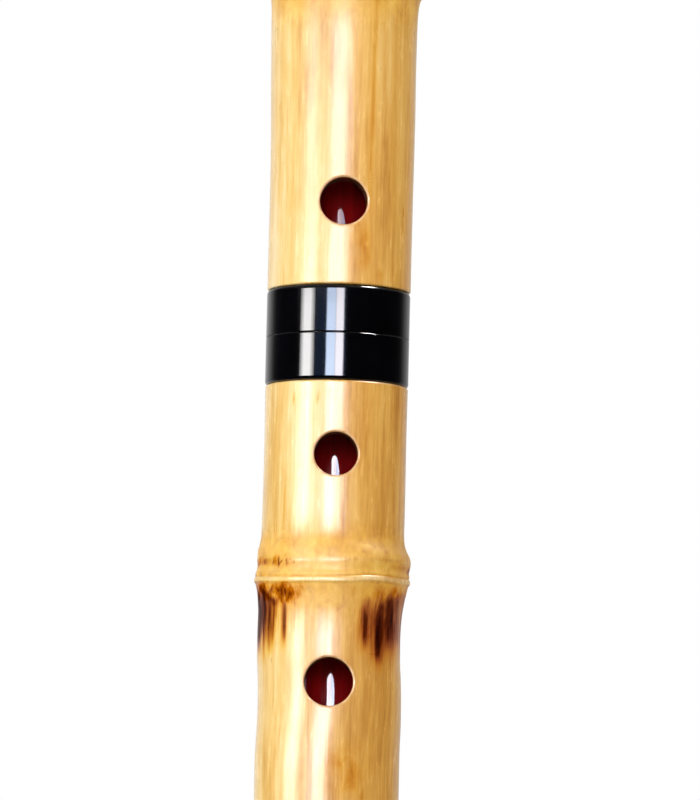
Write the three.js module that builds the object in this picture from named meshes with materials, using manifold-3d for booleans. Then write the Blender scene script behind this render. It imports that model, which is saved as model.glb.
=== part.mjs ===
// End-blown bamboo flute with a root end, five finger holes and a pull-apart middle joint.
//
// Frame: millimetres, +Z up along the bore. The origin is the centre of the bore at the flat
// face of the root end, so the flute stands on z = 0. The four front finger holes face -Y and
// the thumb hole faces +Y. Every body of revolution is turned about the Z axis.
import * as THREE from "three";
import { mergeVertices } from "three/addons/utils/BufferGeometryUtils.js";
import Module from "manifold-3d";

const wasm = await Module();
wasm.setup();

// ---------------------------------------------------------------- dimensions (mm, degrees)
const LENGTH = 545; // one shaku eight sun, the standard length in D
const TURN_SEGMENTS = 48; // facets round a full turn
const SEAT_GAP = 0.05; // clearance between parts seated against each other

// joint faces
const JOINT_Z = 251.4; // plane where the two sections meet
const FACE_GAP = 0.05; // half of the gap between the two joint faces
const LOWER_FACE_Z = JOINT_Z - FACE_GAP;
const UPPER_FACE_Z = JOINT_Z + FACE_GAP;

// joint rings, one on each section, over a thread binding on the turned-down cane
const RING_H = 10.8;
const RING_R = 16.2; // close to flush with the cane
const RING_BORE_R = 14.85;
const RING_CHAMFER = 0.35;
const RING_BOTTOM_Z = JOINT_Z - RING_H; // lower end of the lower ring
const RING_TOP_Z = JOINT_Z + RING_H; // upper end of the upper ring
const SPIGOT_R = 14.2; // cane turned down under the rings
const BINDING_SETBACK = 0.5; // the binding stops short of the joint face
const SHOULDER_LOW_Z = RING_BOTTOM_Z - SEAT_GAP; // full-size cane ends here
const SHOULDER_UP_Z = RING_TOP_Z + SEAT_GAP; // and starts again here

// tenon, and the sleeve that takes it in the upper section
const TENON_R = 10.7;
const TENON_UP = 20; // stands this far above the joint plane
const TENON_DOWN = 20; // seated this far below it
const TENON_TOP_Z = JOINT_Z + TENON_UP;
const TENON_BOTTOM_Z = JOINT_Z - TENON_DOWN;
const TENON_TOP_CHAMFER = 0.6;
const TENON_BOTTOM_CHAMFER = 0.3;
const TENON_BORE_R = 8.7; // air bore, at mid height
const TENON_BORE_FLARE = 0.05; // narrower by this at the bottom, wider at the top
const SLIDE_R = TENON_R + 0.1; // bore that takes the tenon, in the sleeve and the lower cane
const SLEEVE_R = 12.3;
const SLEEVE_SEAT_R = SLEEVE_R + 0.08;
const SLEEVE_CHAMFER = 0.3; // at the mouth of the sleeve's bore
const SOCKET_FLOOR_Z = TENON_BOTTOM_Z - 0.1; // end of the tenon's seat in the lower cane
const SLEEVE_SEAT_TOP_Z = TENON_TOP_Z + 0.8;

// reamed cane, filled out again by the lining
const RAW_BORE_LOW_R = 10.3;
const RAW_BORE_UP_R = 11.3;
const LINING_GAP = 0.08;
const LINING_UP_Z = SLEEVE_SEAT_TOP_Z + 0.1; // lower end of the upper lining

// mouthpiece
const BORE_TOP_R = 10.2;
const EDGE_DROP = 3.5; // the blowing edge dips this far below the top
const BLADE_ANGLE = 30; // between the blade facet and the bore
const CHIN_Y = 12.2; // where the back facet meets the top plane
const CHIN_SLOPE = 35; // fall of the back facet from level
const INLAY_R = 8.6; // arc of the inlay's pocket, seen from the front
const INLAY_Z = LENGTH + 1;
const INLAY_GAP = 0.12;
const INLAY_BLANK_Z = 500; // lower end of the ring the inlay is cut from

// cutters, all long enough to clear the cane
const CUTTER_REACH = 30; // outer end of a radial plug, from the axis
const HOLE_CUTTER = { inner: 2, segments: 32 }; // inner: distance of the near end from the axis
const INLAY_CUTTER = { inner: 4, segments: 40 };
const FACET_REACH = 60; // facet block: depth, and half its length along the plane
const FACET_WIDTH = 80; // along X

// finger holes: height, radius and direction round the cane (degrees from the front, +X way)
const HOLES = {
  lower: [
    { z: 121.0, radius: 5.1, turn: 0.5 },
    { z: 173.0, radius: 5.45, turn: -0.8 },
    { z: 224.0, radius: 4.9, turn: 0.9 },
  ],
  upper: [
    { z: 281.0, radius: 5.35, turn: 2.4 },
    { z: 310.0, radius: 5.0, turn: 180 },
  ],
};

// outside of the cane, bottom to top: [z, radius]. The local swellings are its natural nodes;
// the three lowest belong to the root.
const LOWER_OUT = [
  [0, 20.0], [1.6, 21.6], [6, 22.6], [14, 22.9], [18, 23.5], [20.5, 23.1], [25, 22.6],
  [32, 20.9], [42, 19.9], [48, 20.6], [50.5, 21.1], [53, 20.7], [57.5, 20.3], [64, 18.7],
  [76, 17.6], [90, 17.2], [96, 17.8], [98, 18.3], [99.6, 17.9], [104, 17.9], [109, 16.9],
  [125, 16.4], [147, 16.15], [168, 16.1], [182, 16.1], [188.5, 16.2], [193.5, 16.85],
  [196, 17.55], [197.2, 17.3], [202.2, 17.15], [206, 16.2], [222, 16.05],
  [SHOULDER_LOW_Z, 16.08],
];
const UPPER_OUT = [
  [SHOULDER_UP_Z, 16.15], [283, 16.2], [305, 16.38], [323, 16.6], [328.2, 16.95],
  [330.3, 17.7], [331.6, 17.45], [336.3, 17.4], [340.5, 16.65], [380, 16.4], [430, 16.4],
  [438.3, 16.75], [440.3, 17.6], [441.9, 17.3], [446.5, 17.4], [451, 16.55],
  [INLAY_BLANK_Z, 16.6], [526, 16.9], [530.5, 17.3], [532.3, 18.1], [533.9, 17.8],
  [538.5, 17.9], [543.5, 17.2], [LENGTH, 16.4],
];
// air bore, [z, radius]: widest at the mouth, narrowest near the lowest hole, opening again
// at the foot
const BORE_LOW = [
  [0, 9.3], [40, 8.4], [80, 7.85], [125, 7.8], [173, 8.15], [SOCKET_FLOOR_Z, 8.6],
];
const BORE_UP = [[LINING_UP_Z, 8.8], [310, 9.0], [380, 9.35], [460, 9.8], [LENGTH, BORE_TOP_R]];

// ---------------------------------------------------------------- finishes
const TENON_BROWN = 0x2a1512;
const FINISHES = {
  cane: { color: 0xd9a85c, roughness: 0.28 },
  lacquer: { color: 0x7a0d0a, roughness: 0.12 },
  ring: { color: 0x08080a, roughness: 0.06 },
  thread: { color: 0xb89868, roughness: 0.7 },
  socket: { color: TENON_BROWN, roughness: 0.3 },
  tenon: { color: TENON_BROWN, roughness: 0.2 },
  horn: { color: 0x14100e, roughness: 0.15 },
};

// ---------------------------------------------------------------- solids and meshes
function toSolid(geometry) {
  geometry.deleteAttribute("normal");
  geometry.deleteAttribute("uv");
  const merged = mergeVertices(geometry, 1e-4);
  const vertProperties = new Float32Array(merged.attributes.position.array);
  const triVerts = new Uint32Array(merged.index.array);
  const build = () => new wasm.Manifold(new wasm.Mesh({ numProp: 3, vertProperties, triVerts }));

  const solid = build();
  if (solid.volume() >= 0) return solid;
  // inside out: reverse the winding of every triangle
  for (let i = 0; i < triVerts.length; i += 3) {
    [triVerts[i + 1], triVerts[i + 2]] = [triVerts[i + 2], triVerts[i + 1]];
  }
  return build();
}

function toMesh(name, solid, finish) {
  const { vertProperties, triVerts } = solid.getMesh();
  const geometry = new THREE.BufferGeometry();
  geometry.setAttribute("position", new THREE.BufferAttribute(vertProperties, 3));
  geometry.setIndex(new THREE.BufferAttribute(triVerts, 1));
  geometry.computeVertexNormals();
  const mesh = new THREE.Mesh(geometry, new THREE.MeshStandardMaterial(finish));
  mesh.name = name;
  return mesh;
}

// a ring-shaped solid turned about Z from its outside and inside profiles, both going up
function turned(outside, inside) {
  const loop = [...outside, ...[...inside].reverse()].map(([z, r]) => new THREE.Vector2(r, z));
  loop.push(loop[0].clone());
  return toSolid(new THREE.LatheGeometry(loop, TURN_SEGMENTS).rotateX(Math.PI / 2));
}

const straight = (z0, z1, radius) => [[z0, radius], [z1, radius]];

// ---------------------------------------------------------------- cutters
// a cylinder pointing out from the axis, to the front unless turned towards +X
function radialPlug({ radius, z, turn = 0, inner, segments }) {
  const geometry = new THREE.CylinderGeometry(radius, radius, CUTTER_REACH - inner, segments);
  geometry.translate(0, -(CUTTER_REACH + inner) / 2, 0);
  geometry.rotateZ(THREE.MathUtils.degToRad(turn));
  geometry.translate(0, 0, z);
  return toSolid(geometry);
}

function cutHoles(solid, holes) {
  return holes.reduce((cut, hole) => cut.subtract(radialPlug({ ...hole, ...HOLE_CUTTER })), solid);
}

// a block whose near face is the plane through (y, z) with normal (normalY, normalZ)
function facetBlock(y, z, normalY, normalZ) {
  const corner = (along, out) =>
    new THREE.Vector2(y - normalZ * along + normalY * out, z + normalY * along + normalZ * out);
  const section = new THREE.Shape([
    corner(-FACET_REACH, 0),
    corner(FACET_REACH, 0),
    corner(FACET_REACH, FACET_REACH),
    corner(-FACET_REACH, FACET_REACH),
  ]);
  const geometry = new THREE.ExtrudeGeometry(section, { depth: FACET_WIDTH, bevelEnabled: false });
  // the section's x and y become Y and Z, and the extrusion runs along X, centred
  geometry.applyMatrix4(new THREE.Matrix4().set(
    0, 0, 1, -FACET_WIDTH / 2,
    1, 0, 0, 0,
    0, 1, 0, 0,
    0, 0, 0, 1,
  ));
  return toSolid(geometry);
}

const bladeAngle = THREE.MathUtils.degToRad(BLADE_ANGLE);
const chinSlope = THREE.MathUtils.degToRad(CHIN_SLOPE);
const inlayPlug = (radius) => radialPlug({ radius, z: INLAY_Z, ...INLAY_CUTTER });
const blade = facetBlock(
  -BORE_TOP_R, LENGTH - EDGE_DROP, -Math.cos(bladeAngle), Math.sin(bladeAngle),
);
const chin = facetBlock(CHIN_Y, LENGTH, Math.sin(chinSlope), Math.cos(chinSlope));
const pocket = inlayPlug(INLAY_R);

// cuts the blade, the back facet and the inlay's pocket
const cutMouth = (solid) => solid.subtract(blade).subtract(chin).subtract(pocket);

// ---------------------------------------------------------------- joint pieces
function jointRing(z0, z1) {
  const outside = [
    [z0, RING_R - RING_CHAMFER],
    [z0 + RING_CHAMFER, RING_R],
    [z1 - RING_CHAMFER, RING_R],
    [z1, RING_R - RING_CHAMFER],
  ];
  return turned(outside, straight(z0, z1, RING_BORE_R));
}

// thread between spigot and ring
function jointBinding(z0, z1) {
  return turned(
    straight(z0, z1, RING_BORE_R - SEAT_GAP),
    straight(z0, z1, SPIGOT_R + SEAT_GAP),
  );
}

function jointTenon() {
  const outside = [
    [TENON_BOTTOM_Z, TENON_R - TENON_BOTTOM_CHAMFER],
    [TENON_BOTTOM_Z + TENON_BOTTOM_CHAMFER, TENON_R],
    [TENON_TOP_Z - TENON_TOP_CHAMFER, TENON_R],
    [TENON_TOP_Z, TENON_R - TENON_TOP_CHAMFER],
  ];
  const bore = [
    [TENON_BOTTOM_Z, TENON_BORE_R - TENON_BORE_FLARE],
    [TENON_TOP_Z, TENON_BORE_R + TENON_BORE_FLARE],
  ];
  return turned(outside, bore);
}

function socketSleeve() {
  const top = SLEEVE_SEAT_TOP_Z - SEAT_GAP;
  const bore = [
    [UPPER_FACE_Z, SLIDE_R + SLEEVE_CHAMFER],
    [UPPER_FACE_Z + SLEEVE_CHAMFER, SLIDE_R],
    [top, SLIDE_R],
  ];
  return turned(straight(UPPER_FACE_Z, top, SLEEVE_R), bore);
}

// ---------------------------------------------------------------- lower section (root end)
function lowerTube() {
  const outside = [...LOWER_OUT, ...straight(SHOULDER_LOW_Z, LOWER_FACE_Z, SPIGOT_R)];
  const inside = [
    ...straight(0, SOCKET_FLOOR_Z, RAW_BORE_LOW_R),
    ...straight(SOCKET_FLOOR_Z, LOWER_FACE_Z, SLIDE_R),
  ];
  return cutHoles(turned(outside, inside), HOLES.lower);
}

function lowerLining() {
  const outside = straight(0, SOCKET_FLOOR_Z, RAW_BORE_LOW_R - LINING_GAP);
  return cutHoles(turned(outside, BORE_LOW), HOLES.lower);
}

// ---------------------------------------------------------------- upper section (mouthpiece)
function upperTube() {
  const outside = [...straight(UPPER_FACE_Z, SHOULDER_UP_Z, SPIGOT_R), ...UPPER_OUT];
  const inside = [
    ...straight(UPPER_FACE_Z, SLEEVE_SEAT_TOP_Z, SLEEVE_SEAT_R),
    ...straight(SLEEVE_SEAT_TOP_Z, LENGTH, RAW_BORE_UP_R),
  ];
  return cutHoles(cutMouth(turned(outside, inside)), HOLES.upper);
}

function upperLining() {
  const outside = straight(LINING_UP_Z, LENGTH, RAW_BORE_UP_R - LINING_GAP);
  return cutHoles(cutMouth(turned(outside, BORE_UP)), HOLES.upper);
}

// fills the pocket from the bore out to the blade facet
function blowingEdgeInlay() {
  const outside = UPPER_OUT.filter(([z]) => z >= INLAY_BLANK_Z);
  const bore = [[INLAY_BLANK_Z, BORE_TOP_R - 0.05], [LENGTH, BORE_TOP_R]]; // slight taper
  return turned(outside, bore).intersect(inlayPlug(INLAY_R - INLAY_GAP)).subtract(blade);
}

// ---------------------------------------------------------------- scene graph
const lowerBinding = jointBinding(RING_BOTTOM_Z + SEAT_GAP, LOWER_FACE_Z - BINDING_SETBACK);
const upperBinding = jointBinding(UPPER_FACE_Z + BINDING_SETBACK, RING_TOP_Z - SEAT_GAP);

const lowerSection = new THREE.Group().add(
  toMesh("lower_bamboo_tube", lowerTube(), FINISHES.cane),
  toMesh("lower_bore_lining", lowerLining(), FINISHES.lacquer),
  toMesh("lower_joint_ring", jointRing(RING_BOTTOM_Z, LOWER_FACE_Z), FINISHES.ring),
  toMesh("lower_joint_binding", lowerBinding, FINISHES.thread),
);
const upperSection = new THREE.Group().add(
  toMesh("upper_bamboo_tube", upperTube(), FINISHES.cane),
  toMesh("upper_bore_lining", upperLining(), FINISHES.lacquer),
  toMesh("upper_joint_ring", jointRing(UPPER_FACE_Z, RING_TOP_Z), FINISHES.ring),
  toMesh("upper_joint_binding", upperBinding, FINISHES.thread),
  toMesh("joint_socket_sleeve", socketSleeve(), FINISHES.socket),
  toMesh("blowing_edge_inlay", blowingEdgeInlay(), FINISHES.horn),
);
const flute = new THREE.Group();
flute.add(lowerSection, toMesh("joint_tenon", jointTenon(), FINISHES.tenon), upperSection);

export default flute;
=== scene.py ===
# Bamboo flute in two sections that join over a tenon, standing upright on its root end.
# The flute's axis is Z, with z = 0 at the foot; the finger holes and blowing edge face front (-Y).
# Lengths are millimetres until a mesh is made, in metres; the stage, lights and camera are in
# metres. Angles round the flute are measured from the front, positive towards +X (right).
import math

import bpy
import numpy as np
from mathutils import Matrix, Vector


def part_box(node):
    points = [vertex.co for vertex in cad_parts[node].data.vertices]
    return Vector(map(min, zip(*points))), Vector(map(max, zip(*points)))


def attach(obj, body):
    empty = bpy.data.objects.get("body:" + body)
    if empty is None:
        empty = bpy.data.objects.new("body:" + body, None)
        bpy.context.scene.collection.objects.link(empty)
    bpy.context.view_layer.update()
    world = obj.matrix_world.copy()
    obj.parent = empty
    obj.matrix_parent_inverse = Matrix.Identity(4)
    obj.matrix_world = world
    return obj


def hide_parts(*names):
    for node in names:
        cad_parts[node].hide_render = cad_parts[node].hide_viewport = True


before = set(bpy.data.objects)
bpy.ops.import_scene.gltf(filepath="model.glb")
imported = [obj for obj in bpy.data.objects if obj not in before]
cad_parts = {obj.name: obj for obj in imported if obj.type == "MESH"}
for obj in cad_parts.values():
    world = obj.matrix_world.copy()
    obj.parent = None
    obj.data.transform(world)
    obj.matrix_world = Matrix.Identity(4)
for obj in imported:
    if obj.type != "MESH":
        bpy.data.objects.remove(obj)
for name in ("Cube", "Light", "Camera"):  # Blender's start-up scene
    if name in bpy.data.objects:
        bpy.data.objects.remove(bpy.data.objects[name])
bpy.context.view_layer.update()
MM = 0.001
TAU = 2 * math.pi
RAD = math.pi / 180
SIDES = ("lower", "upper")


# ------------------------------------------------------------------ sizes from the CAD pieces
def heights(node):
    """Bottom and top of a CAD piece."""
    low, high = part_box(node)
    return np.array(low)[2] / MM, np.array(high)[2] / MM


def outer_radius(node):
    return np.array(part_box(node)[1])[0] / MM


LOWER_TOP = heights("lower_bamboo_tube")[1]
UPPER_BOTTOM, LENGTH = heights("upper_bamboo_tube")
RING = {side: heights(f"{side}_joint_ring") for side in SIDES}
RING_R = outer_radius("lower_joint_ring")
BINDING = {side: heights(f"{side}_joint_binding") for side in SIDES}
LINING = {side: heights(f"{side}_bore_lining") for side in SIDES}
LINING_R = {side: outer_radius(f"{side}_bore_lining") for side in SIDES}
TENON = heights("joint_tenon")
TENON_R = outer_radius("joint_tenon")
SLEEVE = heights("joint_socket_sleeve")
SLEEVE_R = outer_radius("joint_socket_sleeve")

# ------------------------------------------------------------------ other sizes
RING_BORE = 14.85
SPIGOT_R = 14.2  # turned end of the cane, under ring and binding
BIND_R = (14.25, 14.8)  # inside and outside of the thread
SLIDE_R = 10.8  # round the sliding tenon
SEAT_R = 12.38  # round the socket sleeve
JOINT_BORE_R = 8.7
RAW_LOW, RAW_UP = 10.3, 11.3  # inside of the bare cane
CORNER_R = 0.45  # rounded cane edge against the rings
CORNER = [degrees * RAD for degrees in (0, 18, 36, 54, 72, 90)]

# finger holes: height, radius, direction in degrees
HOLES = {
    "lower": [(121.0, 5.1, 0.5), (173.0, 5.45, -0.8), (224.0, 4.9, 0.9)],
    "upper": [(281.0, 5.35, 2.4), (310.0, 5.0, 180.0)],
}
WINDOW = 6.8  # half height of the re-meshed window round a hole
WINDOW_STEP = 0.76
INNER_RIM = 0.22  # rounding of a hole where it meets the inside
CANE_SIDES = 216

# mouthpiece
BLADE_Y, BLADE_Z = 10.2, LENGTH - 3.5  # a point on the front slope: distance forward, height
BLADE_ANGLE, BEVEL_ANGLE = 60, 35
BEVEL_Y = 12.2  # where the rear bevel starts
TOP_BLEND = 0.16  # softness of the top's creases
PRESS_FROM = 515.0  # rows above this bend to follow the top


# ------------------------------------------------------------------ small maths
def pchip(points):
    """A smooth curve through [x, y] points that never overshoots them."""
    x, y = np.array(points, float).T
    gap = np.diff(x)
    rise = np.diff(y) / gap
    slope = np.zeros(len(x))
    same = rise[:-1] * rise[1:] > 0
    w1, w2 = 2 * gap[1:] + gap[:-1], gap[1:] + 2 * gap[:-1]
    with np.errstate(divide="ignore", invalid="ignore"):
        middle = (w1 + w2) / (w1 / rise[:-1] + w2 / rise[1:])
    slope[1:-1] = np.where(same, middle, 0)
    slope[0], slope[-1] = rise[0], rise[-1]

    def curve(at):
        at = np.clip(at, x[0], x[-1])
        i = np.clip(np.searchsorted(x, at) - 1, 0, len(x) - 2)
        t = (at - x[i]) / gap[i]
        return (
            y[i] * (1 + 2 * t) * (1 - t) ** 2 + slope[i] * gap[i] * t * (1 - t) ** 2
            + y[i + 1] * t * t * (3 - 2 * t) + slope[i + 1] * gap[i] * t * t * (t - 1)
        )

    return curve


def waves(seed, fewest, most, count, length):
    """Smooth noise on the cylinder, about -1 to 1: fewest to most ripples round, changing along z."""
    rng = np.random.default_rng(seed)
    ripples = rng.integers(fewest, most + 1, count)
    phase, drift = rng.uniform(0, TAU, count), rng.uniform(0, TAU, count)
    stretch, swing = rng.uniform(0.6, 1.7, count), rng.uniform(0.5, 1.6, count)

    def noise(angle, z):
        angle, z = np.broadcast_arrays(np.asarray(angle, float), np.asarray(z, float))
        total = np.zeros(angle.shape)
        for k in range(count):
            sway = swing[k] * np.sin(TAU * z / (length * stretch[k]) + drift[k])
            total += np.cos(ripples[k] * angle + phase[k] + sway)
        return total / math.sqrt(count / 2) * 0.6

    return noise


def smooth(t):
    t = np.clip(t, 0, 1)
    return t * t * (3 - 2 * t)


def wrap(angle):
    return (angle + math.pi) % TAU - math.pi


def near(z, centre, flat, fade):
    """1 within flat of centre, falling to 0 over fade."""
    return smooth(1 - (np.abs(z - centre) - flat) / fade)


def constant(radius):
    return lambda angle, z: np.full(np.broadcast(angle, z).shape, radius)


# ------------------------------------------------------------------ the cane's shape
# outside profiles: height, mean radius
LOWER_PROFILE = pchip([
    (0, 19.7), (0.4, 20.3), (1.6, 21.5), (4, 22.3), (8, 22.7), (14, 22.85), (16.6, 22.95),
    (17.5, 23.2), (18.1, 23.42), (18.5, 23.4), (18.95, 23.15), (19.6, 23.05), (21, 23.05),
    (25, 22.5), (32, 20.95), (38, 20.1), (42, 19.9), (46, 20.15), (49, 20.55), (50.1, 20.9),
    (50.7, 21.08), (51.2, 20.85), (51.9, 20.7), (54, 20.75), (56.5, 20.45), (59, 19.9),
    (64, 18.7), (70, 18), (76, 17.6), (84, 17.3), (90, 17.2), (94, 17.35), (96.4, 17.65),
    (97.5, 18.05), (98, 18.27), (98.5, 18), (99.1, 17.82), (100.5, 17.92), (103, 17.88),
    (105.2, 17.45), (107.5, 17), (111, 16.75), (125, 16.4), (135, 16.25), (147, 16.15),
    (155, 16.16), (168, 16.1), (182, 16.1), (186, 16.12), (188.8, 16.2), (191, 16.47),
    (193, 16.8), (194.2, 17.06), (194.85, 17.24), (195.1, 17.42), (195.32, 17.54),
    (195.6, 17.57), (196.05, 17.55), (196.25, 17.42), (196.42, 17.22), (196.58, 17.3),
    (196.75, 17.39), (197, 17.37), (197.4, 17.25), (197.9, 17.17), (198.5, 17.18),
    (199.2, 17.24), (199.7, 17.31), (200, 17.345), (200.25, 17.33), (200.7, 17.29),
    (201.3, 17.22), (202.2, 17.08), (203.2, 16.84), (204.3, 16.5), (205.6, 16.21),
    (207, 16.12), (211, 16.1), (222, 16.05), (230, 16.03), (240.6, 16.08)])
UPPER_PROFILE = pchip([
    (262.2, 16.15), (270, 16.15), (283, 16.18), (290, 16.22), (296, 16.28), (305, 16.4),
    (312, 16.45), (320, 16.55), (325, 16.62), (327, 16.75), (328.6, 17), (329.6, 17.35),
    (330.1, 17.64), (330.45, 17.66), (330.85, 17.45), (331.25, 17.28), (331.65, 17.42),
    (332.2, 17.44), (333.5, 17.36), (335.2, 17.44), (336.4, 17.3), (337.6, 16.95), (339, 16.7),
    (341, 16.58), (350, 16.48), (380, 16.4), (430, 16.4), (435, 16.5), (437.5, 16.75),
    (439, 17.1), (439.9, 17.5), (440.35, 17.6), (440.8, 17.36), (441.3, 17.2), (442, 17.33),
    (443.5, 17.3), (445.3, 17.38), (446.6, 17.2), (448, 16.85), (450, 16.6), (453, 16.5),
    (480, 16.55), (500, 16.6), (515, 16.75), (524, 16.9), (528, 17.1), (530.3, 17.4),
    (531.6, 17.8), (532.3, 18.06), (532.9, 17.8), (533.6, 17.7), (535, 17.83), (538, 17.83),
    (540, 17.6), (542, 17.28), (543.6, 16.95), (545, 16.4)])
# the cane isn't quite straight: height, sideways wander (+ is towards +X)
SWAY = pchip([
    (0, 0), (40, 0.35), (80, -0.2), (120, 0.1), (150, -0.1), (156, -0.12), (160, -0.05),
    (165, 0.12), (170, 0.1), (175, -0.08), (178, -0.28), (181, -0.37), (184, -0.4),
    (187, -0.33), (190, -0.17), (193, -0.02), (196, 0), (197.5, 0.1), (199, 0.34),
    (200.5, 0.36), (202, 0.22), (203.4, 0), (206, -0.08), (212, 0), (225, 0.04), (240, 0.03),
    (265, 0.03), (280, 0.07), (290, 0.1), (300, 0.06), (310, -0.08), (322, -0.15), (335, 0),
    (380, 0.3), (420, 0.2), (441, -0.1), (480, -0.25), (520, 0), (545, 0)])
# nor quite round: height, skew that turns its front one way or the other
SKEW = pchip([
    (0, 0), (100, -0.15), (125, -0.5), (140, -0.72), (152, -0.78), (161, -0.6), (172, -0.18),
    (188, 0), (225, 0.08), (245, 0.14), (265, 0.2), (285, 0.15), (320, 0.1), (350, 0), (545, 0)])
# tilt of the main node's rings: angle in degrees, rise
LEAN = pchip([
    (-181, 0.4), (-135, 0.65), (-90, 0.85), (-60, 0.4), (-35, 0.05), (0, 0), (11, 0.16),
    (20, 0.42), (29, 0.56), (38, 0.56), (50, 0.52), (65, 0.6), (90, 0.85), (135, 0.65), (181, 0.4)])
# bores: height, radius
BORE = {
    "lower": pchip([(0, 9.3), (40, 8.4), (80, 7.85), (125, 7.8), (173, 8.15), (231.4, 8.6)]),
    "upper": pchip([(272.3, 8.8), (310, 9.0), (380, 9.35), (460, 9.8), (545, 10.2)]),
}
MAIN_NODE, UPPER_NODE = 195.7, 330.3
NODES = [18.3, 50.6, 98.0, MAIN_NODE, UPPER_NODE, 440.35, 532.3]
broad_waves = waves(3, 2, 4, 4, 160.0)
mid_waves = waves(5, 6, 13, 8, 60.0)
small_waves = waves(9, 16, 40, 12, 45.0)
lip_waves = waves(21, 5, 28, 12, 9.0)
lean_waves = waves(23, 3, 11, 7, 40.0)


def node_shift(angle, z):
    """How far a node's rings stand above their mean height at this angle."""
    total = np.zeros(np.broadcast(angle, z).shape)
    for k, node in enumerate(NODES):
        if node == MAIN_NODE:
            lean = LEAN(np.degrees(angle)) + 0.07 * lean_waves(angle, node)
        elif node == UPPER_NODE:
            lean = (0.75 + 0.3 * np.cos(angle) - 0.35 * np.sin(angle)
                    + 0.1 * lean_waves(angle, node))
        else:
            lean = 0.35 * np.sin(angle + 1.9 * k) + 0.13 * lean_waves(angle, node)
        total = total + near(z, node, flat=3.5, fade=5.5) * lean
    return total


def root_stubs():
    """Cut root stubs in rows round the root end: height, angle, radius."""
    rng = np.random.default_rng(31)
    stubs = []
    for row, count, size in ((11.5, 15, 1.35), (15.0, 15, 1.2), (22.2, 14, 1.15),
                             (44.5, 11, 1.1), (47.6, 10, 0.95), (54.6, 9, 0.9), (101.8, 5, 0.6)):
        start = rng.uniform(0, TAU)
        for k in range(count):
            stubs.append((row + rng.uniform(-0.9, 0.9),
                          wrap(start + TAU * k / count + rng.uniform(-0.12, 0.12)),
                          size * rng.uniform(0.75, 1.2)))
    return stubs


STUBS = root_stubs()
STUBS_END = 110  # there are none above this


def stub_field(angle, z, r):
    """(height, disc mask) of the root stubs at each point."""
    angle, z, r = (np.asarray(a, float) for a in np.broadcast_arrays(angle, z, r))
    height, mask = np.zeros(angle.shape), np.zeros(angle.shape)
    if z.min() > STUBS_END:
        return height, mask
    for stub_z, stub_angle, stub_r in STUBS:
        away = np.hypot(wrap(angle - stub_angle) * r, z - stub_z) / stub_r
        dome = 0.42 * smooth((1.55 - away) / 0.6) - 0.14 * smooth((0.75 - away) / 0.5)
        height = np.maximum(height, dome)
        mask = np.maximum(mask, smooth((1.12 - away) / 0.3))
    return height, mask


def cane_radius(profile):
    def radius_at(angle, z):
        angle, z = (np.asarray(a, float) for a in np.broadcast_arrays(angle, z))
        r = profile(z) + SWAY(z) * np.sin(angle) + SKEW(z) * np.sin(2 * angle)
        r = (r + 0.05 * broad_waves(angle, z) + 0.022 * mid_waves(angle, z)
             + 0.006 * small_waves(angle, z))
        at_lip = np.zeros(z.shape)
        for node in NODES:
            at_lip = at_lip + np.exp(-(((z - node) / 0.45) ** 2))
        r = r + at_lip * 0.06 * lip_waves(angle, z)
        for node in NODES[:3]:  # the root end is lumpier
            r = r + near(z, node, flat=4, fade=8) * 0.12 * mid_waves(angle, z * 0.3 + node)
        return r + stub_field(angle, z, r)[0] * smooth((z - 1.5) / 3)

    return radius_at


LOWER_AT, UPPER_AT = cane_radius(LOWER_PROFILE), cane_radius(UPPER_PROFILE)


def top_z(y):
    """Height of the mouthpiece's top: flat, with a steep slope in front and a bevel behind."""
    flat = np.full(np.shape(y), LENGTH)
    blade = BLADE_Z + math.tan(BLADE_ANGLE * RAD) * (y + BLADE_Y)
    bevel = LENGTH - math.tan(BEVEL_ANGLE * RAD) * (y - BEVEL_Y)
    low = np.minimum(np.minimum(flat, blade), bevel)
    return low - TOP_BLEND * np.log(
        np.exp(-(flat - low) / TOP_BLEND) + np.exp(-(blade - low) / TOP_BLEND)
        + np.exp(-(bevel - low) / TOP_BLEND))


def top_edge(angle, radius_at):
    """Where the top surface meets a wall, at each angle."""
    z = np.full(angle.shape, LENGTH - 2.0)
    for _ in range(60):
        z = 0.6 * z + 0.4 * top_z(-radius_at(angle, z) * np.cos(angle))
    return z


def on_top(angle, r, mat, drop=0.0):
    """A cap entry (radius, height, material) that lies on the mouthpiece's top."""
    return r, top_z(-r * np.cos(angle)) - drop, mat


# ------------------------------------------------------------------ mesh building
def ring_angles(sides):
    return -math.pi + TAU * np.arange(sides) / sides


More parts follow.
